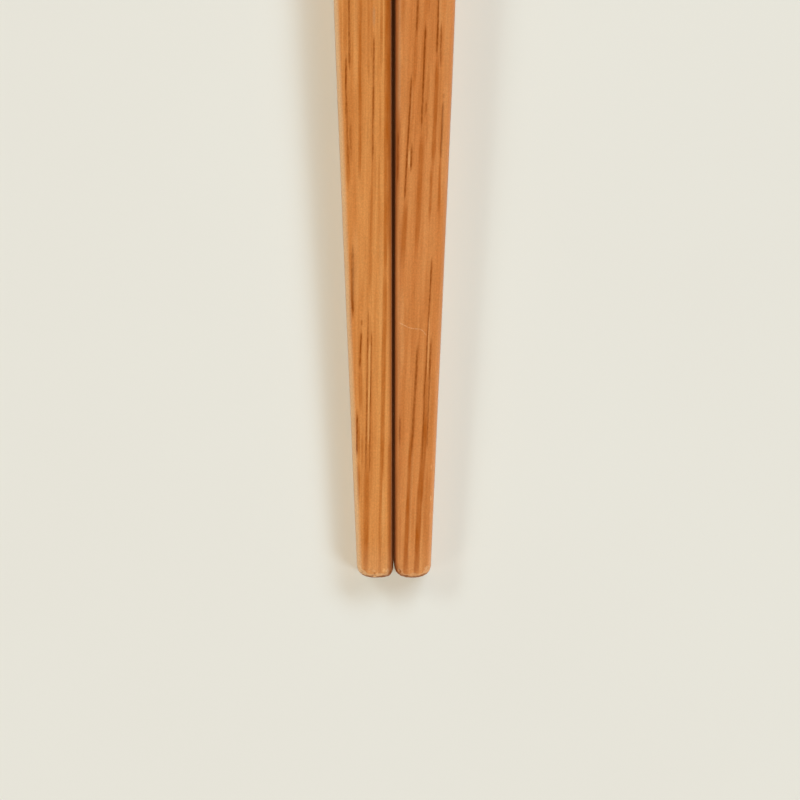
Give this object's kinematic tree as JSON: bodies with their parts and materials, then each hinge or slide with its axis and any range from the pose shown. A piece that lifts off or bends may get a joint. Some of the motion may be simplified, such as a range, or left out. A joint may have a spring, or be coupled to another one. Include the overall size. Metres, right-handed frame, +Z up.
{
  "type": "pair of chopsticks",
  "caption": "Slim bamboo sticks lying side by side, with straight inner faces, an outer taper, sanded edges and blunt rounded tips, for picking up food.",
  "frame": {"origin": "centre of the pair, midway between the tips and the handle ends, on the surface that it lies on", "axes": "+X across the pair to the right-hand stick, +Y from the tips to the handle ends, +Z up"},
  "size_m": [0.0154, 0.24, 0.0052],
  "materials": {
    "bamboo": "satin"
  },
  "bodies": {
    "root": {"left_chopstick": "bamboo", "right_chopstick": "bamboo"}
  },
  "joints": []
}
